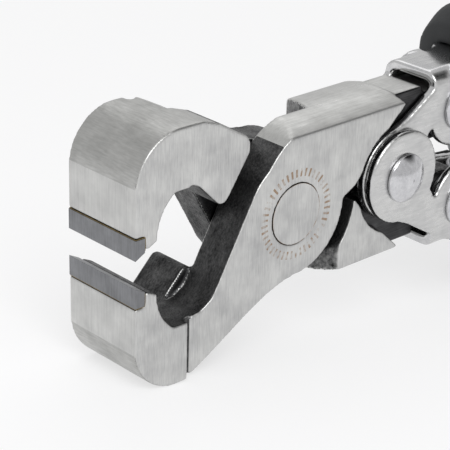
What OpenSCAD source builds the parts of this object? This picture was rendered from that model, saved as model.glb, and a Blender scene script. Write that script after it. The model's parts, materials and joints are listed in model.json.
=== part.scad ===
// Compound-action nippers: two forged jaws that cross in a lap joint and are
// driven by two pressed channel handles through a four-bar linkage.
// X runs along the tool with the cutting tips at -X and the handles at +X.
// Y is the axis of every pivot, Z is the direction in which the jaws open.
// The origin is the middle of the main pivot. The tool is drawn open, at rest.

/* [Jaws] */
// Distance from the main pivot to the cutting edges
head_reach = 35; // [33:0.5:44]
// Width across the jaw heads
head_w = 16.2; // [14:0.2:20]
// Height from the centre line to the crown of each head
head_crown = 21.7; // [20.5:0.1:26]
// Radius of the rounded nose of each head
nose_r = 8.9; // [7:0.1:10.5]
// Radius of the boss round the main pivot
boss_r = 11.1; // [9.5:0.1:12]
// Height of the tang's top edge above the centre line
tang_top = 13.4; // [12:0.1:16]
// Step from the ground head faces down to the ground arm faces
face_step = 1.0; // [0.6:0.1:1.4]

/* [Cutting tips] */
// Opening between the two cutting edges at rest
tip_gap = 4.6; // [4:0.1:5.6]
// Height of each carbide tip
tip_h = 3.4; // [2.6:0.1:4.2]
// Depth of each carbide tip, back from the front face
tip_d = 1.9; // [1.4:0.1:2.4]
// Rise of the ground bevel on each cutting edge
tip_bevel = 1.0; // [0.5:0.1:1.3]
// Thickness of the braze between tip and seat
braze_t = 0.15; // [0.1:0.05:0.25]

/* [Linkage] */
// Distance from the main pivot to the handle pivot
handle_pivot_x = 25.3; // [24.5:0.1:31]
// Distance along X from the handle pivot to the tang pivots
link_x = 15.9; // [15:0.1:19.5]
// Height of the tang pivots above and below the centre line
tang_pin_z = 8.8; // [8.2:0.1:10.6]
// Angle that each jaw turns from rest to closed
jaw_close = 3.5; // [2.5:0.1:3.6]

/* [Pins and rivets] */
// Shank radius of the main pivot rivet
main_pin_r = 4.0; // [3.2:0.1:4.8]
// Radius of the flush heads of the main pivot rivet
main_head_r = 5.3; // [5:0.1:6.4]
// Shank radius of the handle pivot rivet
handle_pin_r = 2.8; // [2.3:0.1:3.4]
// Shank radius of the two tang rivets
tang_pin_r = 2.6; // [2.1:0.1:3.1]
// Radius of the domed rivet heads
dome_r = 4.35; // [3.8:0.05:5.2]
// Height of the domed rivet heads
dome_h = 2.1; // [1.4:0.1:2.6]
// Wall of the bushes pressed into the tang eyes
bush_wall = 0.9; // [0.7:0.1:1.2]

/* [Handles] */
// Thickness of the pressed steel sheet
sheet_t = 1.75; // [1.4:0.05:2.1]
// Thickness of the tang plates that enter the handles
plate_t = 8.4; // [7:0.2:10]
// Radius of the lobes round the handle pivot
lobe_r = 8.3; // [6.9:0.1:9.1]
// Radius of the lobes round the tang rivets
tang_lobe_r = 7.4; // [6.5:0.1:7.7]
// Outer bend radius of the pressed channel
bend_r = 2.6; // [2.2:0.1:3.2]
// Distance from the main pivot to the rear end of the grips
grip_end = 168; // [145:1:205]
// Outward rise of each handle along its length
handle_rise = 24; // [22:0.5:30]

/* [Grips] */
// Thickness of the grip over the back of the channel
grip_t = 2.6; // [2:0.1:3.4]
// Half width of the grips
grip_half_w = 10; // [9.5:0.1:12]
// Height of the finger guard at the front of each grip
guard_h = 4.6; // [3:0.1:6]

/* [Fits] */
// Radial clearance of a pin that turns in its bore
run_fit = 0.04; // [0.03:0.01:0.08]
// Radial clearance of a pin that stays fixed in its bore
set_fit = 0.01; // [0.01:0.01:0.02]
// Side clearance between plates that turn on each other
side_gap = 0.1; // [0.08:0.01:0.2]
// Clearance between pieces that sweep past each other
sweep_gap = 0.4; // [0.3:0.1:0.8]

/* [Hidden] */
$fn = 96;

steel = [0.74, 0.74, 0.74];
polished = [0.86, 0.86, 0.87];
carbide = [0.42, 0.42, 0.43];
black = [0.07, 0.07, 0.08];
brass = [0.78, 0.62, 0.30];

// Planes across the tool, measured from the middle
head_y = head_w/2;
arm_y = head_y - face_step;
lap_y = side_gap/2;
plate_y = plate_t/2;
inner_wall_y = plate_y + side_gap;            // upper handle, inside face
inner_face_y = inner_wall_y + sheet_t;        // upper handle, outside face
outer_wall_y = inner_face_y + side_gap;       // lower handle, inside face
outer_face_y = outer_wall_y + sheet_t;        // lower handle, outside face

// Tang pivots, and the turn of each handle from rest to closed
tang_pin_x = handle_pivot_x + link_x;
link_len = norm([link_x, tang_pin_z]);
tang_len = norm([tang_pin_x, tang_pin_z]);
tang_angle = atan2(tang_pin_z, tang_pin_x);
link_angle = asin(tang_pin_z/link_len);
handle_close = link_angle - asin(tang_len*sin(tang_angle - jaw_close)/link_len);
pivot_shift = handle_pivot_x*sin(jaw_close);  // travel of the handle pivot past a tang

// Head outline, as distances back from the cutting edges
nose_x = -head_reach + nose_r;
nose_z = head_crown - nose_r;
crown_x = -head_reach + 13.5;
throat_x = -head_reach + 13;
throat_z = 4.5;
throat_r = 8.6;
shelf_z = -throat_z - 6.6;                    // floor of the throat beside the arm
arm_root_x = -head_reach + 10.9;              // vertical step at the back of the head
tip_z = tip_gap/2;
seat_z = tip_z + tip_h + braze_t;
seat_x = -head_reach + tip_d + braze_t;

// Tang outline
tang_crown = 1.3;
tang_front_x = 8.2;                           // front end of the tang's second half
groove_w = 1.4;
groove_d = 0.4;
tang_crown_r = (arm_y*arm_y + tang_crown*tang_crown)/(2*tang_crown);
front_clear_r = boss_r + 2.8;                 // full-width tang clears the other boss
eye_r = tang_pin_r + run_fit + bush_wall + 1.5;
plate_top = tang_pin_z + 4.1;
ridge_top = tang_top + 0.6;                   // the plate's ridge in front of the handle
spacer_r = handle_pin_r + 1.6;
tang_clear_r = lobe_r + pivot_shift + sweep_gap;
spacer_clear_r = spacer_r + pivot_shift + sweep_gap;

// Handle outline: the back of the channel as a function of x
web_top = tang_pin_z + eye_r + 0.6 + sheet_t;
web_x = tang_pin_x - 7.2;
bend_x = tang_pin_x + 12.8;
channel_end = grip_end - 18;
grip_front = tang_pin_x + 5.9;
guard_back = 5.6;                             // crest of the guard behind the front
guard_reach = 8.2;
spring_x = tang_pin_x + 10.4;
open_end_x = spring_x + 12;
function smooth(s) = let(u = min(max(s, 0), 1)) u*u*(3 - 2*u);
function web_z(x) = web_top + handle_rise*smooth((x - bend_x)/(channel_end - bend_x));
// Inner edge of the grips: straight when closed, opening out towards the rear
function grip_in(x) = (x - handle_pivot_x)*tan(handle_close) + 1.3
    + 6.3*pow(max(x - grip_front, 0)/(channel_end - grip_front), 2);
function guard(x) = let(a = (x - grip_front - guard_back)*90/guard_reach)
    abs(a) < 90 ? guard_h*pow(cos(a), 2) : 0;
function grip_out(x) = web_z(x) + grip_t + guard(x);
function channel_lo(x) = grip_in(x) + 1.8;

// Latch loop at the rear end of the upper grip
wire_r = 1.1;
latch_x = grip_end - 8;
latch_z = (grip_in(latch_x) + grip_out(latch_x))/2;
latch_len = 25;
latch_y = grip_half_w + wire_r + 0.4;
sleeve_r = wire_r + run_fit + 0.9;

// Extrude a side outline (x, z) between two planes across the tool
module slab(y0, y1) {
    translate([0, y1, 0]) rotate([90, 0, 0]) linear_extrude(y1 - y0) children();
}

// The same slab on both sides of the middle plane
module twin_slabs(y0, y1) {
    slab(y0, y1) children();
    slab(-y1, -y0) children();
}

module pin(x, z, r, y0, y1) {
    translate([x, y1, z]) rotate([90, 0, 0]) cylinder(r = r, h = y1 - y0);
}

module tube(x, z, r_out, r_in, y0, y1) {
    difference() {
        pin(x, z, r_out, y0, y1);
        pin(x, z, r_in, y0 - 1, y1 + 1);
    }
}

// Turn a piece over about the X axis, from the lower jaw to the upper one
module flipped() { rotate([180, 0, 0]) children(); }

// Mirror a piece of the upper handle to the lower one
module below() { mirror([0, 0, 1]) children(); }

// Points along a cubic curve from a to d, with b and c as its handles
function curve(a, b, c, d, n) = [for (i = [0:n]) let(t = i/n, u = 1 - t)
    u*u*u*a + 3*u*u*t*b + 3*u*t*t*c + t*t*t*d];

// Point where the line from p touches a circle of radius r round the origin
function touch(p, r) = let(d = norm(p), a = atan2(p[1], p[0]) - acos(r/d))
    [r*cos(a), r*sin(a)];

// ---------------------------------------------------------------- jaws

// Solid head behind the cutting edge, full width
module head_outline() {
    difference() {
        union() {
            // nose, cut off at the vertical step
            intersection() {
                translate([nose_x, -nose_z]) circle(r = nose_r);
                translate([-head_reach - 1, -head_crown - 1])
                    square([arm_root_x + head_reach + 1, head_crown]);
            }
            polygon([[-head_reach, -tip_z], [-head_reach, -nose_z], [nose_x, -head_crown],
                     [arm_root_x, -head_crown + 0.05], [arm_root_x, shelf_z - 0.1],
                     [throat_x, -throat_z], [throat_x - throat_r, -throat_z],
                     [-head_reach + tip_d, -tip_z - tip_bevel]]);
        }
        // throat, rounded at the front and level at its floor
        intersection() {
            translate([throat_x, -throat_z]) circle(r = throat_r);
            translate([-head_reach, shelf_z - 0.35]) square(head_reach);
        }
    }
}

// Arm from the head up to the boss round the main pivot, one half of the lap
module arm_outline() {
    fillet_r = 3.6;
    elbow = [-head_reach + 17.9, -7.8];
    back = curve([crown_x - 1, -head_crown + 0.1], [-head_reach + 21.5, -17.2],
                 [-head_reach + 27.5, -boss_r - 0.9], [0, -boss_r], 12);
    circle(r = boss_r);
    polygon(concat(back, [[0, 0], touch(elbow, boss_r - 0.05), elbow,
        [elbow[0] - 1.2, elbow[1] - 1.9], [elbow[0] - fillet_r, shelf_z],
        [arm_root_x - 1, shelf_z - 0.5], [nose_x, -head_crown]]));
}

// Lobe on the other half of the lap, which guides the crossing arm
module lobe_outline() {
    lobe_tip = [-head_reach + 17.6, -8.4];
    corner = [-head_reach + 20.8, -15.1];
    translate(lobe_tip) circle(r = 1.5);
    translate(corner) circle(r = 2.6);
    polygon([[nose_x, -nose_z], [arm_root_x - 2, shelf_z - 0.9],
             [arm_root_x + 0.5, shelf_z - 0.6], [arm_root_x + 1.9, shelf_z],
             lobe_tip + [-1.1, 1.0], lobe_tip, lobe_tip + [1.35, 0.65],
             corner + [2.3, 1.2], corner, corner + [1.2, -2.3],
             [-head_reach + 16.8, -head_crown + 1.2],
             [crown_x, -head_crown + 0.1], [nose_x, -head_crown]]);
}

// Full-width tang in front of the handle, before its top is crowned
module tang_outline() {
    top = tang_top + tang_crown;
    rear = handle_pivot_x;
    // from the boss up to the top
    rise = curve([-boss_r*0.64, boss_r*0.76], [-boss_r*0.44, boss_r*0.94],
                 [-4.4, boss_r + 1.8], [1.5, top], 8);
    difference() {
        polygon(concat([[0, 0]], rise,
                [[rear, top], [rear, tang_top - 0.4], [rear - 4.9, 8.6],
                 [front_clear_r, front_clear_r*tan(jaw_close) + sweep_gap],
                 [boss_r, -0.2]]));
        translate([handle_pivot_x, 0]) circle(r = tang_clear_r);
    }
}

// Thin plate that carries the tang eye inside the handle
module plate_outline() {
    difference() {
        union() {
            polygon([[13.5, 3.6], [17, ridge_top], [web_x - 1.6, ridge_top],
                     [web_x - 1.2, plate_top], [tang_pin_x - 2.9, plate_top],
                     [tang_pin_x, tang_pin_z], [tang_pin_x, tang_pin_z - eye_r],
                     [handle_pivot_x + 6, 2.9], [handle_pivot_x, 6]]);
            translate([tang_pin_x, tang_pin_z]) circle(r = eye_r);
        }
        translate([handle_pivot_x, 0]) circle(r = spacer_clear_r);
    }
}

// One jaw forging, drawn as the lower jaw
module jaw(rivet_fit) {
    difference() {
        union() {
            slab(-head_y, head_y) head_outline();
            slab(-arm_y, -lap_y) arm_outline();
            slab(lap_y, head_y) lobe_outline();
            // the tang's full-width part keeps clear of the other jaw's boss
            intersection() {
                union() {
                    slab(-arm_y, -lap_y) tang_outline();
                    difference() {
                        slab(-lap_y, arm_y) difference() {
                            tang_outline();
                            circle(r = front_clear_r);
                        }
                        // slanted front end
                        linear_extrude(tang_top*2)
                            polygon([[-boss_r, -1], [tang_front_x, -1],
                                     [tang_front_x, 0], [tang_front_x + 2.6, arm_y],
                                     [tang_front_x + 2.6, arm_y + 1], [-boss_r, arm_y + 1]]);
                    }
                }
                translate([-10, 0, tang_top + tang_crown - tang_crown_r])
                    rotate([0, 90, 0]) cylinder(r = tang_crown_r, h = tang_pin_x + 10);
            }
            slab(-plate_y, plate_y) plate_outline();
        }
        // nothing of this jaw may stand in the other jaw's half of the lap
        pin(0, 0, boss_r + sweep_gap, lap_y, head_y + 1);
        // relief in the arm's face beside the proud side of the head
        slab(-head_y, -arm_y + groove_d) translate([arm_root_x, -head_crown - 1])
            square([groove_w, head_crown]);
        // seat for the carbide tip
        slab(-head_y - 1, head_y + 1)
            polygon([[-head_reach - 1, 0], [-head_reach - 1, -seat_z],
                     [seat_x, -seat_z], [seat_x, 0]]);
        // main pivot, with a pocket for its flush head
        pin(0, 0, main_pin_r + rivet_fit, -head_y, head_y);
        pin(0, 0, main_head_r + rivet_fit, -head_y - 1, -arm_y + 2);
        // eye for the bush
        pin(tang_pin_x, tang_pin_z, tang_pin_r + run_fit + bush_wall + set_fit,
            -head_y, head_y);
    }
}

module lower_jaw() { color(steel) jaw(set_fit); }
module upper_jaw() { color(steel) flipped() jaw(run_fit); }

// Carbide tip with a ground bevel behind its cutting edge
module tip() {
    slab(-head_y, head_y)
        polygon([[-head_reach, -tip_z], [-head_reach, -tip_z - tip_h],
                 [-head_reach + tip_d, -tip_z - tip_h],
                 [-head_reach + tip_d, -tip_z - tip_bevel]]);
}

// Braze fillet under and behind a tip
module braze() {
    slab(-head_y + 0.1, head_y - 0.1)
        polygon([[-head_reach + 0.1, -seat_z], [-head_reach + 0.1, -tip_z - tip_h],
                 [-head_reach + tip_d, -tip_z - tip_h],
                 [-head_reach + tip_d, -tip_z - tip_bevel - 0.3],
                 [seat_x, -tip_z - tip_bevel - 0.3], [seat_x, -seat_z]]);
}

module lower_carbide_tip() { color(carbide) tip(); }
module upper_carbide_tip() { color(carbide) flipped() tip(); }
module lower_braze() { color(brass) braze(); }
module upper_braze() { color(brass) flipped() braze(); }

// ---------------------------------------------------------------- rivets

// Rivet ground flush with both arms
module main_pivot_rivet() {
    color(steel) {
        pin(0, 0, main_pin_r, -arm_y, arm_y);
        pin(0, 0, main_head_r, -arm_y, -arm_y + 2);
        pin(0, 0, main_head_r, arm_y - 2, arm_y);
    }
}

// Domed rivet whose heads bear on the planes y = -seat and y = seat
module domed_rivet(x, z, r, seat) {
    rim = 0.5;
    cap = dome_h - rim;
    ball_r = (dome_r*dome_r + cap*cap)/(2*cap);
    pin(x, z, r, -seat - 0.2, seat + 0.2);
    for (side = [0, 180]) translate([x, 0, z]) rotate([90, 0, side]) {
        translate([0, 0, seat]) cylinder(r = dome_r, h = rim);
        intersection() {
            translate([0, 0, seat + rim + cap - ball_r]) sphere(r = ball_r);
            translate([0, 0, seat + rim/2]) cylinder(r = dome_r, h = dome_h);
        }
    }
}

module handle_pivot_rivet() {
    color(polished) domed_rivet(handle_pivot_x, 0, handle_pin_r, outer_face_y + side_gap/2);
}

module handle_pivot_spacer() {
    color(steel) tube(handle_pivot_x, 0, spacer_r, handle_pin_r + set_fit,
                      -inner_wall_y + 0.02, inner_wall_y - 0.02);
}

module upper_tang_rivet() {
    color(polished) domed_rivet(tang_pin_x, tang_pin_z, tang_pin_r, inner_face_y);
}

module lower_tang_rivet() {
    color(polished) domed_rivet(tang_pin_x, -tang_pin_z, tang_pin_r, outer_face_y);
}

module tang_bush() {
    tube(tang_pin_x, tang_pin_z, tang_pin_r + run_fit + bush_wall, tang_pin_r + run_fit,
         -plate_y, plate_y);
}

module upper_tang_bush() { color(brass) tang_bush(); }
module lower_tang_bush() { color(brass) flipped() tang_bush(); }

// Two rings that centre the lower tang in the wider lower channel
module lower_tang_spacers() {
    color(steel) for (side = [-1, 1]) {
        y0 = side > 0 ? plate_y + side_gap : -outer_wall_y + 0.02;
        y1 = side > 0 ? outer_wall_y - 0.02 : -plate_y - side_gap;
        tube(tang_pin_x, -tang_pin_z, eye_r - 0.2, tang_pin_r + set_fit, y0, y1);
    }
}

// ---------------------------------------------------------------- handles

back_xs = [for (i = [0:16]) bend_x + (channel_end - bend_x)*i/16];

// Side wall of a handle, as seen from the side
module wall_outline() {
    hx = handle_pivot_x;
    px = tang_pin_x;
    body_x = grip_front - 1;
    translate([hx, 0]) circle(r = lobe_r);
    translate([px, tang_pin_z]) circle(r = tang_lobe_r);
    polygon([[hx - 0.7, lobe_r - 0.1], [hx + 2.4, 9.6], [web_x, web_top - bend_r - 0.15],
             [web_x, web_top - bend_r], [body_x + 0.01, web_top - bend_r],
             [body_x + 0.01, channel_lo(body_x)], [px, tang_pin_z - 4],
             [hx + 9.3, 7.4], [hx + 7.2, 4]]);
    polygon(concat([[body_x, channel_lo(body_x)], [body_x, web_top]],
                   [for (x = back_xs) [x, web_z(x)]],
                   [for (i = [16:-1:0]) [back_xs[i], channel_lo(back_xs[i])]]));
}

// Back of the channel from its rounded front part to its end
module web(face_y) {
    body_x = grip_front - 1;
    // front part, with the bends of the sheet as true arcs
    translate([web_x, 0, 0]) rotate([90, 0, 90]) linear_extrude(body_x + 0.01 - web_x)
        difference() {
            bent_bar(face_y, web_top, bend_r);
            bent_bar(face_y - sheet_t, web_top - sheet_t, bend_r - sheet_t);
        }
    slab(-face_y, face_y)
        polygon(concat([[body_x, web_top - sheet_t], [body_x, web_top]],
                       [for (x = back_xs) [x, web_z(x)]],
                       [for (i = [16:-1:0]) [back_xs[i], web_z(back_xs[i]) - sheet_t]]));
}

// Cross-section (y, z) of a bar with rounded upper corners
module bent_bar(half, top, r) {
    low = web_top - bend_r;
    translate([-half + r, low]) square([2*(half - r), top - low]);
    intersection() {
        for (side = [-1, 1]) translate([side*(half - r), top - r]) circle(r = r);
        translate([-half, low]) square([2*half, top - low]);
    }
}

// Pressed channel, drawn as the upper handle
module channel(wall_y, face_y, pivot_fit) {
    difference() {
        union() {
            twin_slabs(wall_y, face_y) wall_outline();
            web(face_y);
        }
        pin(handle_pivot_x, 0, handle_pin_r + pivot_fit, -head_w, head_w);
        pin(tang_pin_x, tang_pin_z, tang_pin_r + set_fit, -head_w, head_w);
    }
}

module upper_handle() {
    color(polished) channel(inner_wall_y, inner_face_y, set_fit);
}

module lower_handle() {
    color(polished) below() channel(outer_wall_y, outer_face_y, run_fit + 0.03);
}

// ---------------------------------------------------------------- grips

ring_n = 24;
function soft(v, n) = sign(v)*pow(abs(v), n);
// Rounding of the rear end, 1 along the grip and 0 at its very end
function nose(x) = let(s = max(x - (grip_end - 13), 0)/13) sqrt(max(1 - s*s, 0.0004));
function grip_w(x) = (grip_half_w + 0.15*guard(x))*(0.35 + 0.65*nose(x));
function grip_ring(x) = let(lo = grip_in(x), hi = grip_out(x), mid = (lo + hi)/2,
    h = (hi - lo)/2*nose(x), w = grip_w(x))
    [for (i = [0:ring_n - 1]) let(a = 360*i/ring_n)
        [x, w*soft(cos(a), 0.62), mid + h*soft(sin(a), 0.62)]];

// Solid through a list of rings with the same number of points
module loft(rings) {
    n = len(rings[0]);
    m = len(rings);
    points = [for (r = rings) for (p = r) p];
    sides = [for (j = [0:m - 2]) for (i = [0:n - 1])
        [j*n + i, j*n + (i + 1)%n, (j + 1)*n + (i + 1)%n, (j + 1)*n + i]];
    polyhedron(points = points, faces = concat([[for (i = [n - 1:-1:0]) i]], sides,
        [[for (i = [0:n - 1]) (m - 1)*n + i]]), convexity = 6);
}

// Moulded sleeve over the channel, drawn as the upper grip
module grip(face_y) {
    tail = grip_end - 13;
    front_xs = [for (i = [0:12]) grip_front + 1.6*i];
    mid_xs = [for (i = [1:9]) front_xs[12] + (tail - front_xs[12])*i/9];
    tail_xs = [for (i = [1:8]) tail + 13*sin(90*i/8)];
    xs = concat(front_xs, mid_xs, tail_xs);
    start = grip_front - 1;
    difference() {
        loft([for (x = xs) grip_ring(x)]);
        slab(-face_y - set_fit, face_y + set_fit)
            polygon(concat([[start, channel_lo(start)], [start, web_top]],
                           [for (x = back_xs) [x, web_z(x)]],
                           [for (i = [16:-1:0]) [back_xs[i], channel_lo(back_xs[i])]]));
        // the front is open towards the other handle, for the tang and the spring
        slab(-face_y - set_fit, face_y + set_fit)
            polygon([[start, -5], [start, web_top - 2], [open_end_x, web_top - 2],
                     [open_end_x, -5]]);
        // scallop round the heads of the tang rivet
        pin(tang_pin_x, tang_pin_z, dome_r + 0.8, -head_w, head_w);
    }
}

module upper_grip() {
    color(black) difference() {
        grip(inner_face_y);
        pin(latch_x, latch_z, sleeve_r + 0.05, -head_w, head_w);
    }
}

module lower_grip() {
    color(black) difference() {
        below() grip(outer_face_y);
        latch_catch_body(0.05);
    }
}

// ---------------------------------------------------------------- spring

spring_r = 3.3;
spring_wire_r = 0.5;
spring_turns = 7;
seat_t = 0.8;
spring_half = web_top - sheet_t - seat_t - 0.05;

// Helix of round wire along Z, closed up towards both ends
module return_spring() {
    sides = 8;
    steps = spring_turns*14;
    rings = [for (k = [0:steps]) let(t = k/steps, a = 360*spring_turns*t,
        z = (spring_half - spring_wire_r)*(2*smooth(t) - 1)*0.35
          + (spring_half - spring_wire_r)*(2*t - 1)*0.65)
        [for (i = [0:sides - 1]) let(b = -360*i/sides,
            r = spring_r + spring_wire_r*cos(b))
            [spring_x + r*cos(a), r*sin(a), z + spring_wire_r*sin(b)]]];
    color(steel) loft(rings);
}

// Peg with a flange that keeps the spring in place
module spring_seat() {
    top = web_top - sheet_t;
    translate([spring_x, 0, top - seat_t]) cylinder(r = spring_r + spring_wire_r, h = seat_t);
    translate([spring_x, 0, top - seat_t - 4.5]) cylinder(r = 2.3, h = 5);
}

module upper_spring_seat() { color(steel) spring_seat(); }
module lower_spring_seat() { color(steel) below() spring_seat(); }

// ---------------------------------------------------------------- latch

// Wire loop that swings over the rear ends of both closed handles
module latch_loop() {
    rise = grip_out(latch_x - latch_len) + wire_r + 0.5 - latch_z;
    tilt = asin(rise/latch_len);
    color(polished) translate([latch_x, 0, latch_z]) rotate([0, tilt, 0])
        rotate([0, 0, 180]) {
            for (side = [-1, 1]) translate([0, side*latch_y, 0]) {
                rotate([0, 90, 0]) cylinder(r = wire_r, h = latch_len);
                sphere(r = wire_r);
                translate([latch_len, 0, 0]) sphere(r = wire_r);
                rotate([90*side, 0, 0]) cylinder(r = wire_r, h = 6);
            }
            translate([latch_len, latch_y, 0]) rotate([90, 0, 0])
                cylinder(r = wire_r, h = 2*latch_y);
        }
}

// Steel sleeve through the upper grip, in which the loop's ends turn
module latch_sleeve() {
    color(steel) tube(latch_x, latch_z, sleeve_r, wire_r + run_fit,
                      -grip_w(latch_x) + 0.3, grip_w(latch_x) - 0.3);
}

// Tongue in the end of the lower grip, over which the loop is hooked
module latch_catch_body(extra) {
    z0 = grip_in(grip_end - 12) + 3;
    slab(-3 - extra, 3 + extra) offset_plate(z0, extra);
}

module offset_plate(z0, extra) {
    polygon([[grip_end - 15 - extra, -z0 + extra], [grip_end + 8, -z0 + extra],
             [grip_end + 9.4, -z0 - 1], [grip_end + 9.4, -z0 - 3.4 - extra],
             [grip_end + 8, -z0 - 3.4 - extra], [grip_end + 8, -z0 - 1.6 - extra],
             [grip_end - 15 - extra, -z0 - 1.6 - extra]]);
}

module latch_catch() { color(polished) latch_catch_body(0); }

lower_jaw();
upper_jaw();
lower_carbide_tip();
upper_carbide_tip();
lower_braze();
upper_braze();
main_pivot_rivet();
upper_tang_bush();
lower_tang_bush();
upper_handle();
lower_handle();
handle_pivot_rivet();
handle_pivot_spacer();
upper_tang_rivet();
lower_tang_rivet();
lower_tang_spacers();
upper_grip();
lower_grip();
return_spring();
upper_spring_seat();
lower_spring_seat();
latch_loop();
latch_sleeve();
latch_catch();
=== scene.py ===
"""Compound-action nippers with forged jaws, carbide edges and sprung channel handles.

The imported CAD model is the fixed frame.  Each sub-assembly class takes its own CAD nodes,
rounds their edges the way forging, grinding and pressing leave them, and dresses them in
the finish of the real piece.  Lengths are metres unless a name ends in _mm.
"""

import json
import logging
import math
from dataclasses import dataclass
from enum import Enum, IntEnum
from typing import Callable

import bmesh
import bpy
from mathutils import Matrix, Vector

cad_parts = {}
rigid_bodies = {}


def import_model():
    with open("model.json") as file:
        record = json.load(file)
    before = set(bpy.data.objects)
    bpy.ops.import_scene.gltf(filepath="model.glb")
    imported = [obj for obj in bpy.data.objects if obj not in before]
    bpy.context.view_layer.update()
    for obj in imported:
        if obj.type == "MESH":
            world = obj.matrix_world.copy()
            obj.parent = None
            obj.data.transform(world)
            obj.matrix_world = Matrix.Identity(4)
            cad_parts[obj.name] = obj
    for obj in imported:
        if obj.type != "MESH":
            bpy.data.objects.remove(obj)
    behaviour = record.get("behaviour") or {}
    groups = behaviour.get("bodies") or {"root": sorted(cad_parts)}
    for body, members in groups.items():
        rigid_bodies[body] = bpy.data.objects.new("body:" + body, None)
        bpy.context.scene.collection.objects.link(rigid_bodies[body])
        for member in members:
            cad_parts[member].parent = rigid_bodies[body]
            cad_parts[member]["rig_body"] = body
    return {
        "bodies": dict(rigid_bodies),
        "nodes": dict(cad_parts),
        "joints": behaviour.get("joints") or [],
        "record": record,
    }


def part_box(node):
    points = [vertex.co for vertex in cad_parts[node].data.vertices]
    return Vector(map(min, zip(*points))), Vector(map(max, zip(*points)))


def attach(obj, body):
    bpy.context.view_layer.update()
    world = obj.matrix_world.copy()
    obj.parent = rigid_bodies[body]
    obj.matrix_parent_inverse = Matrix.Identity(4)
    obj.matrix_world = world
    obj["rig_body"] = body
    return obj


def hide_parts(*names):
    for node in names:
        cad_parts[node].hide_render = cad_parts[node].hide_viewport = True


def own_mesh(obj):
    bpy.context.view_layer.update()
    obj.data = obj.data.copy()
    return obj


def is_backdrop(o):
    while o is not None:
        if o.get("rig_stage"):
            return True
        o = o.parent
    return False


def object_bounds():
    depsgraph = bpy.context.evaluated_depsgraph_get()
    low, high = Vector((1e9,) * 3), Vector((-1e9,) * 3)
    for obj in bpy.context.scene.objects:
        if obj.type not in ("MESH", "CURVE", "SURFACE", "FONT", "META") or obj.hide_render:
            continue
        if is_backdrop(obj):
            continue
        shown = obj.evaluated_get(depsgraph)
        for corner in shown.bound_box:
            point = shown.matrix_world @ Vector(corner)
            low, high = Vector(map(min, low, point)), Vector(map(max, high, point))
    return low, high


LOG = logging.getLogger("nippers")
MM = 0.001


# ------------------------------------------------------------------ small helpers


def linear(hex_colour: str) -> tuple[float, float, float, float]:
    """Turn an sRGB hex colour into Blender's linear values.

    Args:
        hex_colour: six hex digits, such as "b8b8b6".

    Returns:
        Red, green, blue and an alpha of one.
    """
    values = [int(hex_colour[i:i + 2], 16) / 255 for i in (0, 2, 4)]
    r, g, b = (v / 12.92 if v <= 0.04045 else ((v + 0.055) / 1.055) ** 2.4 for v in values)
    return r, g, b, 1.0


def add(tree: bpy.types.NodeTree, kind: str, inputs: dict | None = None, **settings) -> bpy.types.Node:
    """Add one node with its settings, values and links.

    Args:
        tree: the node tree that gets the node.
        kind: Blender's node type, such as "ShaderNodeTexNoise".
        inputs: socket name or index to a value, or to (node, output name or index).
        settings: attributes of the node, such as operation="MULTIPLY".

    Returns:
        The new node.
    """
    node = tree.nodes.new(kind)
    for name, value in settings.items():
        setattr(node, name, value)
    for name, value in (inputs or {}).items():
        if isinstance(value, tuple) and isinstance(value[0], bpy.types.Node):
            tree.links.new(value[0].outputs[value[1]], node.inputs[name])
        else:
            node.inputs[name].default_value = value
    return node


def linked(obj: bpy.types.Object) -> bpy.types.Object:
    """Put a new object in the scene and return it."""
    bpy.context.scene.collection.objects.link(obj)
    return obj


def applied(obj: bpy.types.Object) -> bpy.types.Object:
    """Turn an object's modifiers into a plain mesh.

    Args:
        obj: an object in the scene, with modifiers.

    Returns:
        The same object, with the evaluated mesh and no modifiers.
    """
    evaluated = obj.evaluated_get(bpy.context.evaluated_depsgraph_get())
    mesh = bpy.data.meshes.new_from_object(evaluated)
    obj.modifiers.clear()
    obj.data = mesh
    return obj


# ------------------------------------------------------------------ finishes


class Grain(Enum):
    """Direction in which a belt or a brush ran over a surface."""

    ALONG = (1.0, 0.0, 0.0)
    ACROSS = (0.0, 1.0, 0.0)
    UPRIGHT = (0.0, 0.0, 1.0)


@dataclass(frozen=True)
class Etch:
    """Faint laser-etched ring and tick marks round a pivot, with no lettering."""

    ring_mm: float = 5.35
    line_mm: float = 0.11
    ticks_from_mm: float = 6.5
    ticks_to_mm: float = 7.9
    ticks: int = 44
    colour: str = "94785c"


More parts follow.
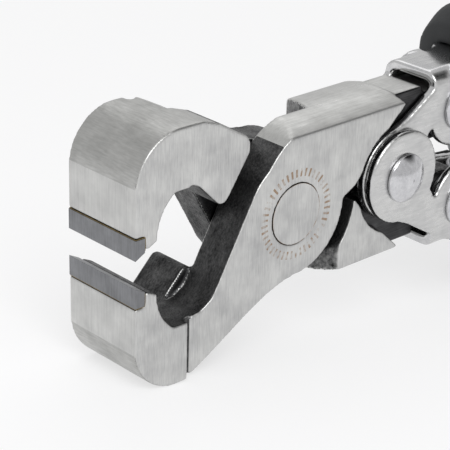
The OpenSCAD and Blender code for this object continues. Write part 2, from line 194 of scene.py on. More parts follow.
@dataclass(frozen=True)
class Steel:
    """Steel with a brushed, ground, polished or scaled surface.

    A metal shows its surroundings, so its look lies in the direction of its scratches, the
    spread of its roughness and the small pits that grinding did not reach.
    """

    name: str
    light: str
    dark: str
    grain: Grain = Grain.UPRIGHT
    spacing_mm: float = 0.22
    streak_mm: float = 5.0
    patch_mm: float = 5.0
    roughness: float = 0.36
    roughness_spread: float = 0.10
    scratch_depth_mm: float = 0.006
    pit_mm: float = 0.5
    pit_depth_mm: float = 0.0
    metallic: float = 1.0
    etch: Etch | None = None
    beyond: "Steel | None" = None

    def material(self) -> bpy.types.Material:
        """Build the procedural material of this steel."""
        material = bpy.data.materials.new(self.name)
        material.use_nodes = True
        tree = material.node_tree
        tree.nodes.clear()
        place = add(tree, "ShaderNodeTexCoord")
        colour, rough, bump = self._surface(tree, place)
        if self.beyond:
            side = self._side(tree, place)
            other_colour, other_rough, other_bump = self.beyond._surface(tree, place)
            colour = (add(tree, "ShaderNodeMix", {0: side, 6: other_colour, 7: colour}, data_type="RGBA"), 2)
            rough = (add(tree, "ShaderNodeMix", {0: side, 2: other_rough, 3: rough}, data_type="FLOAT"), 0)
            bump = (add(tree, "ShaderNodeMix", {0: side, 4: other_bump, 5: bump}, data_type="VECTOR"), 1)
        shader = add(tree, "ShaderNodeBsdfPrincipled", {"Base Color": colour, "Metallic": self.metallic,
                                                        "Roughness": rough, "Normal": bump})
        add(tree, "ShaderNodeOutputMaterial", {"Surface": (shader, 0)})
        return material

    def _side(self, tree: bpy.types.NodeTree, place: bpy.types.Node) -> tuple:
        """Add a mask that is one on the flat sides and fades over their worn edges.

        Args:
            tree: the material's tree.
            place: the texture coordinate node.

        Returns:
            The link source of the mask.
        """
        axes = add(tree, "ShaderNodeSeparateXYZ", {0: (place, "Normal")})
        across = add(tree, "ShaderNodeMath", {0: (axes, 1)}, operation="ABSOLUTE")
        wear = add(tree, "ShaderNodeTexNoise", {"Vector": (place, "Object"), "Scale": 1 / (1.3 * MM),
                                                "Detail": 4.0, "Roughness": 0.7})
        uneven = add(tree, "ShaderNodeMath", {0: (wear, 0), 1: 0.5, 2: (across, 0)}, operation="MULTIPLY_ADD")
        mask = add(tree, "ShaderNodeMapRange", {"Value": (uneven, 0), "From Min": 0.55, "From Max": 0.85})
        return mask, 0

    def _surface(self, tree: bpy.types.NodeTree, place: bpy.types.Node) -> tuple:
        """Add the colour, the roughness and the relief of this finish alone.

        Args:
            tree: the material's tree.
            place: the texture coordinate node.

        Returns:
            The link sources of the colour, the roughness and the normal.
        """
        scratch = self._scratches(tree, place)
        patch = add(tree, "ShaderNodeTexNoise", {"Vector": (place, "Object"), "Detail": 3.0, "Roughness": 0.6,
                                                 "Scale": 1 / (self.patch_mm * MM)})
        both = add(tree, "ShaderNodeMix", {0: 0.5, 2: (scratch, 0), 3: (patch, 0)}, data_type="FLOAT")
        spread = add(tree, "ShaderNodeMapRange", {"Value": (both, 0), "From Min": 0.36, "From Max": 0.64})
        colour = add(tree, "ShaderNodeMix", {0: (spread, 0), 6: linear(self.dark), 7: linear(self.light)},
                     data_type="RGBA")
        if self.etch:
            colour = self._etched(tree, place, colour)
        rough = add(tree, "ShaderNodeMapRange", {"Value": (both, 0), "From Min": 0.3, "From Max": 0.7,
                                                 "To Min": self.roughness + self.roughness_spread,
                                                 "To Max": self.roughness - self.roughness_spread})
        bump = add(tree, "ShaderNodeBump", {"Strength": 1.0, "Distance": self.scratch_depth_mm * MM,
                                            "Height": (scratch, 0)})
        if self.pit_depth_mm > 0:
            bump = self._pitted(tree, place, bump)
        return (colour, 2), (rough, 0), (bump, 0)

    def _scratches(self, tree: bpy.types.NodeTree, place: bpy.types.Node) -> bpy.types.Node:
        """Add the fine lines that run along the grain.

        Args:
            tree: the material's tree.
            place: the texture coordinate node.

        Returns:
            A noise node drawn out along the grain.
        """
        scale = [1 / ((self.streak_mm if on else self.spacing_mm) * MM) for on in self.grain.value]
        mapping = add(tree, "ShaderNodeMapping", {"Vector": (place, "Object"), "Scale": scale})
        return add(tree, "ShaderNodeTexNoise", {"Vector": (mapping, 0), "Scale": 1.0, "Detail": 4.0,
                                                "Roughness": 0.65})

    def _pitted(self, tree: bpy.types.NodeTree, place: bpy.types.Node,
                bump: bpy.types.Node) -> bpy.types.Node:
        """Add shallow pits on top of the scratches.

        Args:
            tree: the material's tree.
            place: the texture coordinate node.
            bump: the scratches' bump node.

        Returns:
            A bump node that holds both.
        """
        grit = add(tree, "ShaderNodeTexNoise", {"Vector": (place, "Object"), "Scale": 1 / (self.pit_mm * MM),
                                                "Detail": 5.0, "Roughness": 0.7})
        deep = add(tree, "ShaderNodeMapRange", {"Value": (grit, 0), "From Min": 0.35, "From Max": 0.62})
        return add(tree, "ShaderNodeBump", {"Strength": 1.0, "Distance": self.pit_depth_mm * MM,
                                            "Height": (deep, 0), "Normal": (bump, 0)})

    def _etched(self, tree: bpy.types.NodeTree, place: bpy.types.Node,
                colour: bpy.types.Node) -> bpy.types.Node:
        """Add the etched ring and its ticks, which lie round the Y axis.

        Args:
            tree: the material's tree.
            place: the texture coordinate node.
            colour: the bare steel's colour node.

        Returns:
            A colour node with the marks.
        """
        etch = self.etch
        flat = add(tree, "ShaderNodeVectorMath", {0: (place, "Object"), 1: (1000.0, 0.0, 1000.0)},
                   operation="MULTIPLY")
        radius = add(tree, "ShaderNodeVectorMath", {0: (flat, 0)}, operation="LENGTH")
        off_ring = add(tree, "ShaderNodeMath", {0: (radius, 1), 1: etch.ring_mm, 2: etch.line_mm},
                       operation="COMPARE")
        middle = (etch.ticks_from_mm + etch.ticks_to_mm) / 2
        half = (etch.ticks_to_mm - etch.ticks_from_mm) / 2
        band = add(tree, "ShaderNodeMath", {0: (radius, 1), 1: middle, 2: half}, operation="COMPARE")
        axes = add(tree, "ShaderNodeSeparateXYZ", {0: (flat, 0)})
        turn = add(tree, "ShaderNodeMath", {0: (axes, 2), 1: (axes, 0)}, operation="ARCTAN2")
        wave = add(tree, "ShaderNodeMath", {0: (turn, 0), 1: float(etch.ticks)}, operation="MULTIPLY")
        wave = add(tree, "ShaderNodeMath", {0: (wave, 0)}, operation="SINE")
        tick = add(tree, "ShaderNodeMath", {0: (wave, 0), 1: 0.35}, operation="GREATER_THAN")
        tick = add(tree, "ShaderNodeMath", {0: (tick, 0), 1: (band, 0)}, operation="MULTIPLY")
        marks = add(tree, "ShaderNodeMath", {0: (tick, 0), 1: (off_ring, 0)}, operation="MAXIMUM")
        worn = add(tree, "ShaderNodeTexNoise", {"Vector": (place, "Object"), "Scale": 900.0, "Detail": 2.0})
        kept = add(tree, "ShaderNodeMapRange", {"Value": (worn, 0), "From Min": 0.35, "From Max": 0.6,
                                                "To Max": 0.85})
        marks = add(tree, "ShaderNodeMath", {0: (marks, 0), 1: (kept, 0)}, operation="MULTIPLY")
        return add(tree, "ShaderNodeMix", {0: (marks, 0), 6: (colour, 2), 7: linear(etch.colour)},
                   data_type="RGBA")


@dataclass(frozen=True)
class MouldedRubber:
    """Thermoplastic rubber, moulded against a spark-eroded tool: a dull, finely pebbled black."""

    name: str = "black_tpr_spark_textured"
    colour: str = "161718"
    sheen_colour: str = "26282a"
    pebble_mm: float = 0.45
    pebble_depth_mm: float = 0.03
    roughness: float = 0.62

    def material(self) -> bpy.types.Material:
        """Build the procedural material of the rubber."""
        material = bpy.data.materials.new(self.name)
        material.use_nodes = True
        tree = material.node_tree
        tree.nodes.clear()
        place = add(tree, "ShaderNodeTexCoord")
        pebble = add(tree, "ShaderNodeTexVoronoi", {"Vector": (place, "Object"),
                                                    "Scale": 1 / (self.pebble_mm * MM)}, feature="SMOOTH_F1")
        rubbed = add(tree, "ShaderNodeTexNoise", {"Vector": (place, "Object"), "Scale": 130.0, "Detail": 4.0})
        colour = add(tree, "ShaderNodeMix", {0: (rubbed, 0), 6: linear(self.colour),
                                             7: linear(self.sheen_colour)}, data_type="RGBA")
        rough = add(tree, "ShaderNodeMapRange", {"Value": (rubbed, 0), "To Min": self.roughness + 0.1,
                                                 "To Max": self.roughness - 0.1})
        bump = add(tree, "ShaderNodeBump", {"Strength": 0.8, "Distance": self.pebble_depth_mm * MM,
                                            "Height": (pebble, 0)})
        shader = add(tree, "ShaderNodeBsdfPrincipled", {"Base Color": (colour, 2), "Roughness": (rough, 0),
                                                        "IOR": 1.5, "Normal": (bump, 0)})
        add(tree, "ShaderNodeOutputMaterial", {"Surface": (shader, 0)})
        return material


# Scale left by the forge: almost black, rough and blotched, and it hardly mirrors anything.
# The jaws also use it as painted shade: the dark line in the corner behind each head's step.
FORGED_SCALE_AND_STEP_SHADE = Steel("tool_steel_forged_scale_and_step_shade", "686868", "29292a", spacing_mm=0.35, streak_mm=1.4,
                     patch_mm=3.0, roughness=0.46, roughness_spread=0.14, scratch_depth_mm=0.02,
                     pit_mm=0.45, pit_depth_mm=0.04)
# Sides ground flat on a belt: light grey with fine upright lines, and dark where the belt
# did not reach.
SIDE_GROUND = Steel("tool_steel_side_ground", "d2d2d0", "b4b4b4", spacing_mm=0.17, streak_mm=2.8,
                    roughness=0.40, scratch_depth_mm=0.006, pit_mm=0.4, pit_depth_mm=0.010,
                    beyond=FORGED_SCALE_AND_STEP_SHADE)
# The same ground side, with the laser-etched ring and ticks round the main pivot.
SIDE_ETCHED = Steel("tool_steel_side_ground_etched", "d2d2d0", "b4b4b4", spacing_mm=0.17, streak_mm=3.2,
                    roughness=0.40, scratch_depth_mm=0.006, pit_mm=0.4, pit_depth_mm=0.008, etch=Etch(),
                    beyond=FORGED_SCALE_AND_STEP_SHADE)
# Front faces, ground with the carbide: a little smoother, with upright lines.
FRONT_GROUND = Steel("tool_steel_front_ground", "cdcdcb", "b4b4b3", spacing_mm=0.16, streak_mm=9.0,
                     roughness=0.38, scratch_depth_mm=0.006)
# Nose and crown, rounded by hand on a belt: lines run across the head, with shallow pits.
NOSE_GROUND = Steel("tool_steel_nose_belt_ground", "bcbcba", "a2a2a0", grain=Grain.ACROSS, spacing_mm=0.3,
                    streak_mm=2.5, roughness=0.42, scratch_depth_mm=0.006, pit_mm=0.5, pit_depth_mm=0.012)
# Faces that the two jaws share at the lap: painted near black for the shade between the jaws, with machined
# lines along the tool.
LAP_MACHINED_SHADE_PAINTED = Steel("tool_steel_lap_machined_shade_painted", "4c4c4d", "2e2e2f", grain=Grain.ALONG, roughness=0.34)
# Tang tops, polished over the forged skin: soft light with long lines.
TANG_POLISHED = Steel("tool_steel_tang_rough_polished", "cacac8", "b0b0ae", grain=Grain.ALONG,
                      spacing_mm=0.35, roughness=0.33, scratch_depth_mm=0.006, pit_depth_mm=0.008)
# Sintered carbide, ground: darker and greyer than the steel round it.
CARBIDE = Steel("tungsten_carbide_ground", "8b8c8f", "737476", spacing_mm=0.18, streak_mm=4.0,
                roughness=0.42, scratch_depth_mm=0.008)
# Silver braze, which shows as a dull warm line.
BRAZE = Steel("silver_braze_fillet", "8a7a55", "5f5238", spacing_mm=0.3, streak_mm=0.6, roughness=0.45,
              pit_depth_mm=0.01)
# Nickel over polished sheet: a clear mirror on the bends.
SHEET_BRIGHT = Steel("nickel_plated_sheet_bright", "d4d4d4", "bcbcbe", grain=Grain.ALONG, spacing_mm=0.6,
                     streak_mm=6.0, roughness=0.15, roughness_spread=0.05, scratch_depth_mm=0.001)
# Nickel over sheet as it was rolled: the flat walls are satin, the bends bright.
SHEET_SATIN = Steel("nickel_plated_sheet_satin", "d2d2d1", "bdbdbd", grain=Grain.ALONG, spacing_mm=0.5,
                    streak_mm=3.0, roughness=0.30, scratch_depth_mm=0.001, pit_mm=0.35, pit_depth_mm=0.003,
                    beyond=SHEET_BRIGHT)
# Rivets plated in a barrel: bright, with small random marks.
RIVET_BRIGHT = Steel("nickel_plated_rivet_tumbled", "d8d8da", "bdbdc0", spacing_mm=0.7, streak_mm=0.9,
                     roughness=0.17, roughness_spread=0.05, scratch_depth_mm=0.003)
# Turned steel without plating: mid grey, with lines round the part.
PLAIN_STEEL = Steel("mild_steel_turned", "a9a9a9", "848484", grain=Grain.ACROSS, roughness=0.34)
# Drawn wire: darker than plate, with fine lines.
SPRING_STEEL = Steel("music_wire_drawn", "9b9b9d", "77777a", spacing_mm=0.15, streak_mm=0.8, roughness=0.28)
# Sintered bronze soaked in oil: brown, with tiny pores.
BRONZE = Steel("sintered_bronze_oiled", "b08a56", "8a6a3e", spacing_mm=0.2, streak_mm=0.3, roughness=0.4,
               pit_depth_mm=0.006)
GRIP_RUBBER = MouldedRubber()


class Store:
    """Makes each finish's material once and hands it out."""

    def __init__(self) -> None:
        """Start with an empty store."""
        self._made: dict[str, bpy.types.Material] = {}

    def get(self, finish: Steel | MouldedRubber) -> bpy.types.Material:
        """Return the material of a finish, made on first use."""
        if finish.name not in self._made:
            self._made[finish.name] = finish.material()
        return self._made[finish.name]


class GeometryTree:
    """A Geometry Nodes tree with named inputs that ends in one realized, dressed mesh."""

    def __init__(self, name: str) -> None:
        """Start an empty tree.

        Args:
            name: the tree's name.
        """
        self.tree = bpy.data.node_groups.new(name, "GeometryNodeTree")
        self.tree.interface.new_socket("Geometry", in_out="OUTPUT", socket_type="NodeSocketGeometry")
        self.entry = add(self.tree, "NodeGroupInput")

    def input(self, name: str, kind: str) -> str:
        """Add a named input and return its identifier.

        Args:
            name: the input's name.
            kind: its socket type.
        """
        return self.tree.interface.new_socket(name, in_out="INPUT", socket_type=kind).identifier

    def source(self, identifier: str) -> tuple:
        """Return the link source of an input, for use in add."""
        index = next(i for i, o in enumerate(self.entry.outputs) if o.identifier == identifier)
        return self.entry, index

    def add(self, kind: str, inputs: dict | None = None, **settings) -> bpy.types.Node:
        """Add a node to this tree, as the function add does."""
        return add(self.tree, kind, inputs, **settings)

    def finish(self, geometry: tuple, material: bpy.types.Material) -> None:
        """Realize, shade and dress the geometry and send it out.

        Args:
            geometry: the (node, output) that holds it.
            material: the material of the result.
        """
        real = self.add("GeometryNodeRealizeInstances", {0: geometry})
        smooth = self.add("GeometryNodeSetShadeSmooth", {"Geometry": (real, 0)})
        dressed = self.add("GeometryNodeSetMaterial", {"Geometry": (smooth, 0), "Material": material})
        self.add("NodeGroupOutput", {0: (dressed, 0)})

    def run(self, name: str, values: dict) -> bpy.types.Object:
        """Run the tree and return its result as a plain mesh object.

        Args:
            name: the new object's name.
            values: each input's identifier and value.
        """
        made = linked(bpy.data.objects.new(name, bpy.data.meshes.new(name)))
        modifier = made.modifiers.new("nodes", "NODES")
        modifier.node_group = self.tree
        for identifier, value in values.items():
            modifier[identifier] = value
        return applied(made)


# ------------------------------------------------------------------ pieces from CAD nodes

EdgeRule = Callable[[Vector, Vector, Vector], float]
FaceRule = Callable[[Vector, Vector], int]


@dataclass
class Finisher:
    """Turns a CAD node into a finished piece with rounded edges and one finish per zone."""

    frame: dict
    store: Store
    sharp_deg: float = 24.0
    segments: int = 3
    merge_mm: float = 0.02

    def body(self, node: str) -> str:
        """Return the name of the body that holds a CAD node."""
        return self.frame["nodes"][node]["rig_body"]

    def slot(self, node: str) -> str:
        """Return the record's material slot of a CAD node."""
        return next(s["material_slot"] for s in self.frame["record"]["subparts"] if s["node"] == node)

    def dress(self, node: str, finish: Steel | MouldedRubber) -> None:
        """Keep a CAD node's mesh and give it a finish.

        Args:
            node: the CAD node.
            finish: its finish.
        """
        for slot in self.frame["nodes"][node].material_slots:
            slot.material = self.store.get(finish)
        LOG.info("%s keeps its CAD mesh, finish %s", node, finish.name)

    def finish(self, node: str, name: str, width_mm: EdgeRule, finishes: list,
               zone: FaceRule) -> bpy.types.Object:
        """Make the finished piece of a CAD node.

        Args:
            node: the CAD node that the piece stands for.
            name: the piece's name.
            width_mm: gives an edge's rounding from its middle and its two normals, in mm.
            finishes: the piece's finishes.
            zone: gives a face's index in finishes from its centre in mm and its normal.

        Returns:
            The piece, riding on the node's body.
        """
        bm = bmesh.new()
        bm.from_mesh(self.frame["nodes"][node].data)
        bmesh.ops.remove_doubles(bm, verts=bm.verts, dist=self.merge_mm * MM)
        bmesh.ops.dissolve_limit(bm, angle_limit=math.radians(0.6), verts=bm.verts, edges=bm.edges)
        layer = bm.edges.layers.float.new("bevel_weight_edge")
        widths = {e: self._width(e, width_mm) for e in bm.edges}
        widest = max(widths.values())
        for edge, width in widths.items():
            edge[layer] = width / widest
        mesh = bpy.data.meshes.new(name)
        bm.to_mesh(mesh)
        bm.free()
        piece = linked(bpy.data.objects.new(name, mesh))
        bevel = piece.modifiers.new("round", "BEVEL")
        bevel.limit_method = "WEIGHT"
        bevel.width = widest * MM
        bevel.segments = self.segments
        bevel.use_clamp_overlap = True
        bevel.miter_outer = "MITER_ARC"
        piece = applied(piece)
        self._paint(piece.data, finishes, zone)
        self._shade(piece)
        self._stand_in(piece, node)
        return piece

    def worn(self, node: str, name: str, grid_mm: float, passes: int, finishes: list,
             zone: FaceRule) -> bpy.types.Object:
        """Make the piece of a CAD node that has soft, slightly uneven edges all round.

        Args:
            node: the CAD node that the piece stands for.
            name: the piece's name.
            grid_mm: the spacing of the new mesh, which also sets how round the edges are.
            passes: how often the mesh is evened out.
            finishes: the piece's finishes.
            zone: gives a face's index in finishes from its centre in mm and its normal.

        Returns:
            The piece, riding on the node's body.
        """
        piece = self._copy(node, name)
        grid = piece.modifiers.new("even", "REMESH")
        grid.mode = "VOXEL"
        grid.voxel_size = grid_mm * MM
        soften = piece.modifiers.new("soften", "SMOOTH")
        soften.factor = 0.5
        soften.iterations = passes
        applied(piece)
        self._paint(piece.data, finishes, zone)
        piece.data.shade_smooth()
        self._stand_in(piece, node)
        return piece

    def _copy(self, node: str, name: str) -> bpy.types.Object:
        """Return a merged copy of a CAD node's mesh as an object in the scene."""
        bm = bmesh.new()
        bm.from_mesh(self.frame["nodes"][node].data)
        bmesh.ops.remove_doubles(bm, verts=bm.verts, dist=2e-6)
        mesh = bpy.data.meshes.new(name)
        bm.to_mesh(mesh)
        bm.free()
        return linked(bpy.data.objects.new(name, mesh))

    def _stand_in(self, piece: bpy.types.Object, node: str) -> None:
        """Put a piece in the place of a CAD node, on its body."""
        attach(piece, self.body(node))
        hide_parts(node)
        self.slot(node)
        LOG.info("%s: %d faces", piece.name, len(piece.data.polygons))

    def _width(self, edge: bmesh.types.BMEdge, width_mm: EdgeRule) -> float:
        """Return an edge's rounding in mm, which is nought where the surface runs on smoothly."""
        if len(edge.link_faces) != 2 or edge.calc_face_angle(0.0) < math.radians(self.sharp_deg):
            return 0.0
        middle = (edge.verts[0].co + edge.verts[1].co) / 2 / MM
        return width_mm(middle, edge.link_faces[0].normal, edge.link_faces[1].normal)

    def _paint(self, mesh: bpy.types.Mesh, finishes: list, zone: FaceRule) -> None:
        """Give each face the finish of its zone."""
        mesh.materials.clear()
        for finish in finishes:
            mesh.materials.append(self.store.get(finish))
        for face in mesh.polygons:
            face.material_index = zone(face.center / MM, face.normal)

    def _shade(self, piece: bpy.types.Object) -> None:
        """Shade a piece smoothly, with flat faces kept flat."""
        piece.data.shade_smooth()
        piece.data.set_sharp_from_angle(angle=math.radians(42))
        weighted = piece.modifiers.new("flat faces", "WEIGHTED_NORMAL")
        weighted.keep_sharp = True
        weighted.weight = 80
        applied(piece)


# ------------------------------------------------------------------ the jaws


class Zone(IntEnum):
    """Zone of a jaw forging, which is also the index of its finish."""

    HEAD_SIDE = 0
    FRONT = 1
    NOSE = 2
    # Painted shade: the corner behind the head's step, in the dark forged scale finish.
    SCALE = 3
    # Painted shade: the lap faces between the jaws are coloured near black.
    LAP = 4
    TANG_TOP = 5
    ARM_SIDE = 6


@dataclass
class Jaw:
    """One forged jaw with its carbide tip; the upper jaw is the lower one turned over.

    The zones' limits are in mm from the main pivot, or from the cutting edge where the name
    starts with behind, and they lie inside the CAD shape's own steps.
    """

    tools: Finisher
    which: str
    sign: float
    head_x_mm: float
    head_half_mm: float
    grid_mm: float = 0.32
    passes: int = 6
    tip_edge_mm: float = 0.06
    lap_inset_mm: float = 2.0
    shade_groove_inset_mm: float = 1.2
    arm_inset_mm: float = 0.4
    behind_shade_groove_mm: float = 12.5
    behind_arm_mm: float = 11.2
    behind_front_mm: float = 1.0
    behind_nose_mm: float = 9.0
    behind_crown_mm: float = 16.0
    front_z_mm: float = -14.0
    nose_z_mm: float = -10.0
    under_z_mm: float = -16.0
    tang_x_mm: float = -3.2
    tang_z_mm: float = 9.5

    def build(self) -> None:
        """Make the forging and the carbide tip, and dress the braze."""
        sides = SIDE_ETCHED if self.which == "lower" else SIDE_GROUND
        finishes = [SIDE_GROUND, FRONT_GROUND, NOSE_GROUND, FORGED_SCALE_AND_STEP_SHADE, LAP_MACHINED_SHADE_PAINTED, TANG_POLISHED, sides]
        self.tools.worn(f"{self.which}_jaw", f"{self.which}_jaw_forging", self.grid_mm, self.passes, finishes,
                        self._zone)
        self.tools.finish(f"{self.which}_carbide_tip", f"{self.which}_carbide_edge",
                          lambda m, a, b: self.tip_edge_mm, [CARBIDE], lambda centre, normal: 0)
        self.tools.dress(f"{self.which}_braze", BRAZE)

    def _own(self, v: Vector) -> Vector:
        """Turn a point or a normal into the lower jaw's position."""
        return Vector((v.x, v.y * self.sign, v.z * self.sign))

    def _zone(self, centre: Vector, normal: Vector) -> Zone:
        """Return the zone of a face of the forging.

        Args:
            centre: the face's centre, in mm.
            normal: the face's normal.

        Returns:
            The zone, whose number is the index of the finish.
        """
        c, n = self._own(centre), self._own(normal)
        behind, inset = c.x - self.head_x_mm, self.head_half_mm - abs(c.y)
        side = Zone.ARM_SIDE if c.y < 0 else Zone.HEAD_SIDE
        if abs(n.y) > 0.5:
            # Painted shade: lap faces inside the jaws get the near-black lap finish.
            if inset > self.lap_inset_mm:
                return Zone.LAP
            # Painted shade: faces sunk behind the head's step get the dark forged scale finish, standing for
            # the shade in that corner.
            if behind < self.behind_shade_groove_mm and inset > self.shade_groove_inset_mm:
                return Zone.SCALE
            return side if behind > self.behind_arm_mm and inset > self.arm_inset_mm else Zone.HEAD_SIDE
        if n.x < -0.8 and behind < self.behind_front_mm and c.z > self.front_z_mm:
            return Zone.FRONT
        if behind < self.behind_nose_mm and n.x < -0.3 and c.z < self.nose_z_mm:
            return Zone.NOSE
        if behind < self.behind_crown_mm and n.z < -0.15 and c.z < self.under_z_mm:
            return Zone.NOSE
        if c.x > self.tang_x_mm and n.z > 0.35 and c.z > self.tang_z_mm:
            return Zone.TANG_TOP
        return side


# ------------------------------------------------------------------ rivets and handles


@dataclass
class Rivets:
    """The flush main rivet, the three domed rivets, and what turns on them."""

    tools: Finisher
    dome_edge_mm: float = 0.18
    flush_edge_mm: float = 0.03

    def build(self) -> None:
        """Make the rivets and dress the hidden bushes and spacers."""
        self.tools.finish("main_pivot_rivet", "main_rivet_flush", lambda m, a, b: self.flush_edge_mm,
                          [SIDE_ETCHED], lambda centre, normal: 0)
        for node in ("handle_pivot_rivet", "upper_tang_rivet", "lower_tang_rivet"):
            self.tools.finish(node, f"{node}_domed", lambda m, a, b: self.dome_edge_mm, [RIVET_BRIGHT],
                              lambda centre, normal: 0)
        for node in ("upper_tang_bush", "lower_tang_bush"):
            self.tools.dress(node, BRONZE)
        for node in ("handle_pivot_spacer", "lower_tang_spacers"):
            self.tools.dress(node, PLAIN_STEEL)


@dataclass
class Handle:
    """One pressed channel handle with its spring seat."""

    tools: Finisher
    which: str
    grid_mm: float = 0.38
    passes: int = 4
    peg_edge_mm: float = 0.2

    def build(self) -> None:
        """Make the channel and its spring seat."""
        self.tools.worn(f"{self.which}_handle", f"{self.which}_channel", self.grid_mm, self.passes,
                        [SHEET_SATIN], lambda centre, normal: 0)
        self.tools.finish(f"{self.which}_spring_seat", f"{self.which}_spring_peg",
                          lambda m, a, b: self.peg_edge_mm, [PLAIN_STEEL], lambda centre, normal: 0)


# ------------------------------------------------------------------ the grips


@dataclass
class Grip:
    """One moulded grip: the CAD sleeve remeshed and softened, with ribs across its back."""

    tools: Finisher
    which: str
    sign: float
    grid_mm: float = 0.7
    passes: int = 4
    ribs: int = 15
    rib_radius_mm: float = 1.0
    rib_length_mm: float = 9.0
    rib_sink_mm: float = 0.6
    first_rib: float = 0.30
    last_rib: float = 0.76

    def build(self) -> None:
        """Make the sleeve and its ribs."""
        node = f"{self.which}_grip"
        sleeve = self.tools.worn(node, f"{node}_sleeve", self.grid_mm, self.passes, [GRIP_RUBBER],
                                 lambda centre, normal: 0)
        ribs = self._ribs(sleeve)
        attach(ribs, self.tools.body(node))
        self.tools.slot(node)
        LOG.info("%s: %d faces", ribs.name, len(ribs.data.polygons))

    def _ribs(self, sleeve: bpy.types.Object) -> bpy.types.Object:
        """Lay ribs across the back of the sleeve, each sunk into the surface under it.

        Args:
            sleeve: the finished sleeve.

        Returns:
            One plain mesh of all the ribs.
        """
        low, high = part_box(f"{self.which}_grip")
        span = high.x - low.x
        over = (high.z if self.sign > 0 else low.z) + self.sign * 0.02
        ends = [Vector((low.x + span * share, 0.0, over)) for share in (self.first_rib, self.last_rib)]
        tree = GeometryTree(f"{self.which}_grip_ribs")
        sleeve_in = tree.input("Sleeve", "NodeSocketObject")
        radius = tree.input("Rib radius", "NodeSocketFloat")
        length = tree.input("Rib length", "NodeSocketFloat")
        count = tree.input("Ribs", "NodeSocketInt")
        surface = tree.add("GeometryNodeObjectInfo", {"Object": tree.source(sleeve_in)})
        line = tree.add("GeometryNodeCurvePrimitiveLine", {"Start": ends[0], "End": ends[1]})
        points = tree.add("GeometryNodeCurveToPoints", {"Curve": (line, 0), "Count": tree.source(count)})
        cast = tree.add("GeometryNodeRaycast", {"Target Geometry": (surface, "Geometry"),
                                                "Ray Direction": (0.0, 0.0, -self.sign), "Ray Length": 0.2})
        sunk = tree.add("ShaderNodeVectorMath", {0: (cast, "Hit Normal"), "Scale": -self.rib_sink_mm * MM},
                        operation="SCALE")
        place = tree.add("ShaderNodeVectorMath", {0: (cast, "Hit Position"), 1: (sunk, 0)}, operation="ADD")
        laid = tree.add("GeometryNodeSetPosition", {"Geometry": (points, "Points"), "Position": (place, 0)})
        half = tree.add("ShaderNodeMath", {0: tree.source(length), 1: 0.5}, operation="MULTIPLY")
        right = tree.add("ShaderNodeCombineXYZ", {1: (half, 0)})
        left = tree.add("ShaderNodeVectorMath", {0: (right, 0), "Scale": -1.0}, operation="SCALE")
        bar = tree.add("GeometryNodeCurvePrimitiveLine", {"Start": (left, 0), "End": (right, 0)})
        spaced = tree.add("GeometryNodeResampleCurve", {"Curve": (bar, 0), "Count": 13})
        along = tree.add("GeometryNodeSplineParameter")
        taper = tree.add("ShaderNodeMath", {0: (along, "Factor"), 1: math.pi}, operation="MULTIPLY")
        taper = tree.add("ShaderNodeMath", {0: (taper, 0)}, operation="SINE")
        taper = tree.add("ShaderNodeMath", {0: (taper, 0), 1: 0.02}, operation="MAXIMUM")
        taper = tree.add("ShaderNodeMath", {0: (taper, 0), 1: 0.35}, operation="POWER")
        ring = tree.add("GeometryNodeCurvePrimitiveCircle", {"Resolution": 12, "Radius": tree.source(radius)})
        rib = tree.add("GeometryNodeCurveToMesh", {"Curve": (spaced, 0), "Profile Curve": (ring, 0),
                                                   "Scale": (taper, 0), "Fill Caps": True})
        each = tree.add("GeometryNodeInstanceOnPoints", {"Points": (laid, 0), "Instance": (rib, 0)})
        tree.finish((each, 0), self.tools.store.get(GRIP_RUBBER))
        return tree.run(f"{self.which}_grip_ribs", {sleeve_in: sleeve, radius: self.rib_radius_mm * MM,
                                                    length: self.rib_length_mm * MM, count: self.ribs})


# ------------------------------------------------------------------ spring and latch


@dataclass
class Spring:
    """The coil spring between the handles."""

    tools: Finisher
    turns: float = 7.0
    wire_mm: float = 1.0
    outer_mm: float = 3.8
    closed_share: float = 0.69
    joint: str = "jaw_pivot"

    def build(self) -> None:
        """Wind the spring between its two seats."""
        low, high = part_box("return_spring")
        middle = (low + high) / 2
        tree = GeometryTree("coil_spring")
        turns = tree.input("Turns", "NodeSocketFloat")
        radius = tree.input("Mean radius", "NodeSocketFloat")
        height = tree.input("Height", "NodeSocketFloat")
        wire = tree.input("Wire radius", "NodeSocketFloat")
        coil = tree.add("GeometryNodeCurveSpiral", {"Resolution": 40, "Rotations": tree.source(turns),
                                                    "Start Radius": tree.source(radius),
                                                    "End Radius": tree.source(radius),
                                                    "Height": tree.source(height)})
        ring = tree.add("GeometryNodeCurvePrimitiveCircle", {"Resolution": 16, "Radius": tree.source(wire)})
        tube = tree.add("GeometryNodeCurveToMesh", {"Curve": (coil, 0), "Profile Curve": (ring, 0),
                                                    "Fill Caps": True})
        radius_mm = self.wire_mm / 2
        start = Vector((middle.x, middle.y, low.z + radius_mm * MM))
        placed = tree.add("GeometryNodeTransform", {"Geometry": (tube, 0), "Translation": start})
        tree.finish((placed, 0), self.tools.store.get(SPRING_STEEL))
        piece = tree.run("return_spring_coil", {
            turns: self.turns, radius: (self.outer_mm - radius_mm) * MM,
            height: (high.z - low.z) - self.wire_mm * MM, wire: radius_mm * MM})
        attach(piece, self.tools.body("return_spring"))
        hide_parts("return_spring")
        self.tools.slot("return_spring")
        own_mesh(piece)
        LOG.info("return_spring_coil: %d faces", len(piece.data.polygons))


@dataclass
class Latch:
    """The wire loop at the rear of the handles, its sleeve and the tongue that it hooks over."""

    tools: Finisher
    wire_edge_mm: float = 0.05
    tongue_edge_mm: float = 0.3

    def build(self) -> None:
        """Make the loop and the tongue, and dress the sleeve."""
        self.tools.finish("latch_loop", "latch_wire_loop", lambda m, a, b: self.wire_edge_mm, [RIVET_BRIGHT],
                          lambda centre, normal: 0)
        self.tools.finish("latch_catch", "latch_tongue", lambda m, a, b: self.tongue_edge_mm, [SHEET_BRIGHT],
                          lambda centre, normal: 0)
        self.tools.dress("latch_sleeve", PLAIN_STEEL)


# ------------------------------------------------------------------ the studio


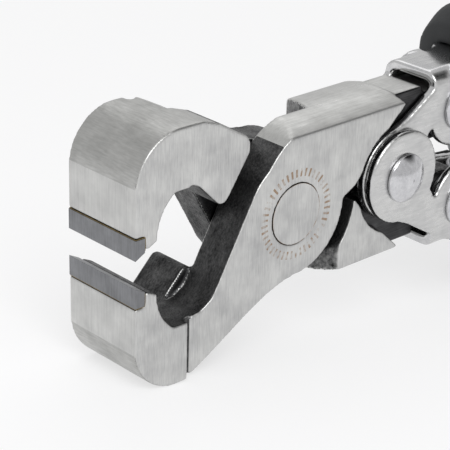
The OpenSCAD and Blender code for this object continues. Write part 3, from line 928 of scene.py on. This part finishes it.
@dataclass(frozen=True)
class Photographer:
    """Camera that looks at the near side of the jaws from the front and above."""

    azimuth_deg: float = -43.13
    elevation_deg: float = 24.20
    roll_deg: float = -1.45
    aside_mm: float = 6.84
    up_mm: float = 4.02
    distance_mm: float = 298.0
    lens: float = 144.0
    sensor: float = 36.0

    def build(self) -> None:
        """Make the camera and set it as the scene's."""
        a, e = math.radians(self.azimuth_deg), math.radians(self.elevation_deg)
        back = Vector((math.sin(a) * math.cos(e), -math.cos(a) * math.cos(e), math.sin(e)))
        right = Vector((math.cos(a), math.sin(a), 0.0))
        axes = Matrix((right, back.cross(right), back)).transposed()
        axes = axes @ Matrix.Rotation(math.radians(-self.roll_deg), 3, "Z")
        shift = Vector((self.aside_mm, self.up_mm, -self.distance_mm)) * MM
        data = bpy.data.cameras.new("camera")
        data.lens, data.sensor_width = self.lens, self.sensor
        data.clip_start, data.clip_end = 0.01, 10.0
        camera = linked(bpy.data.objects.new("camera", data))
        camera.matrix_world = Matrix.Translation(-(axes @ shift)) @ axes.to_4x4()
        bpy.context.scene.camera = camera


@dataclass(frozen=True)
class Studio:
    """White table, white surround and broad soft lights."""

    table_m: float = 3.0
    table_colour: str = "a0a0a1"
    table_glow: float = 0.62
    surround: str = "ffffff"
    surround_strength: float = 0.70
    card: str = "181818"
    card_toward: tuple = (0.62, -0.35, 0.62)
    card_from: float = 0.86
    card_to: float = 0.97
    rest_front_mm: tuple = (-26.0, -21.75)
    rest_rear_mm: tuple = (150.0, -43.4)

    def build(self) -> None:
        """Make the table, the surround and the lights."""
        self._table()
        self._surround()
        self._light("key_soft_box", (-0.35, -0.55, 0.75), 0.6, 5.0)
        self._light("rear_soft_box", (0.5, 0.6, 0.7), 0.6, 0.8)
        bpy.context.scene.view_settings.view_transform = "Standard"

    def _table(self) -> None:
        """Lay the table under the head and the lower grip."""
        (x0, z0), (x1, z1) = self.rest_front_mm, self.rest_rear_mm
        half, slope = self.table_m / 2, (z1 - z0) / (x1 - x0)
        mesh = bpy.data.meshes.new("table")
        level = (z0 - slope * x0) * MM
        corners = [(x, y, level + slope * x) for x, y in
                   ((-half, -half), (half, -half), (half, half), (-half, half))]
        mesh.from_pydata(corners, [], [(0, 1, 2, 3)])
        table = linked(bpy.data.objects.new("table", mesh))
        material = bpy.data.materials.new("white_laminate")
        material.use_nodes = True
        shader = material.node_tree.nodes["Principled BSDF"]
        shader.inputs["Base Color"].default_value = linear(self.table_colour)
        shader.inputs["Roughness"].default_value = 0.9
        shader.inputs["Specular IOR Level"].default_value = 0.0
        shader.inputs["Emission Color"].default_value = linear("ffffff")
        shader.inputs["Emission Strength"].default_value = self.table_glow
        mesh.materials.append(material)
        table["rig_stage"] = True

    def _surround(self) -> None:
        """Light the scene evenly from all round."""
        world = bpy.data.worlds.new("white_surround")
        bpy.context.scene.world = world
        world.use_nodes = True
        tree = world.node_tree
        tree.nodes.clear()
        place = add(tree, "ShaderNodeTexCoord")
        aim = Vector(self.card_toward).normalized()
        toward = add(tree, "ShaderNodeVectorMath", {0: (place, "Generated"), 1: aim}, operation="DOT_PRODUCT")
        card = add(tree, "ShaderNodeMapRange", {"Value": (toward, 1), "From Min": self.card_from,
                                                "From Max": self.card_to})
        colour = add(tree, "ShaderNodeMix", {0: (card, 0), 6: linear(self.surround), 7: linear(self.card)},
                     data_type="RGBA")
        background = add(tree, "ShaderNodeBackground", {"Color": (colour, 2),
                                                        "Strength": self.surround_strength})
        add(tree, "ShaderNodeOutputWorld", {"Surface": (background, 0)})

    def _light(self, name: str, place: tuple, size: float, watts: float) -> None:
        """Hang one soft box that faces the pivot.

        Args:
            name: the light's name.
            place: its place.
            size: the side of its square face.
            watts: its power.
        """
        data = bpy.data.lights.new(name, "AREA")
        data.shape, data.size, data.energy = "SQUARE", size, watts
        light = linked(bpy.data.objects.new(name, data))
        light.location = place
        light.rotation_euler = (-Vector(place)).to_track_quat("-Z", "Y").to_euler()


# ------------------------------------------------------------------ main


def main(frame: dict) -> None:
    """Build the studio and every sub-assembly in order.
    """
    logging.basicConfig(level=logging.INFO, format="%(name)s: %(message)s")
    cad_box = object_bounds()
    Photographer().build()
    tools = Finisher(frame, Store())
    head_low, head_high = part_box("lower_carbide_tip")
    for which, sign in (("lower", 1.0), ("upper", -1.0)):
        Jaw(tools, which, sign, head_low.x / MM, head_high.y / MM).build()
        Handle(tools, which).build()
        Grip(tools, which, -sign).build()
    Rivets(tools).build()
    Spring(tools).build()
    Latch(tools).build()
    Studio().build()
    shown_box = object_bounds()
    for label, box in (("cad", cad_box), ("visual", shown_box)):
        LOG.info("%s box %s", label, [[round(c / MM, 2) for c in v] for v in box])


if __name__ == "__main__":
    main(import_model())
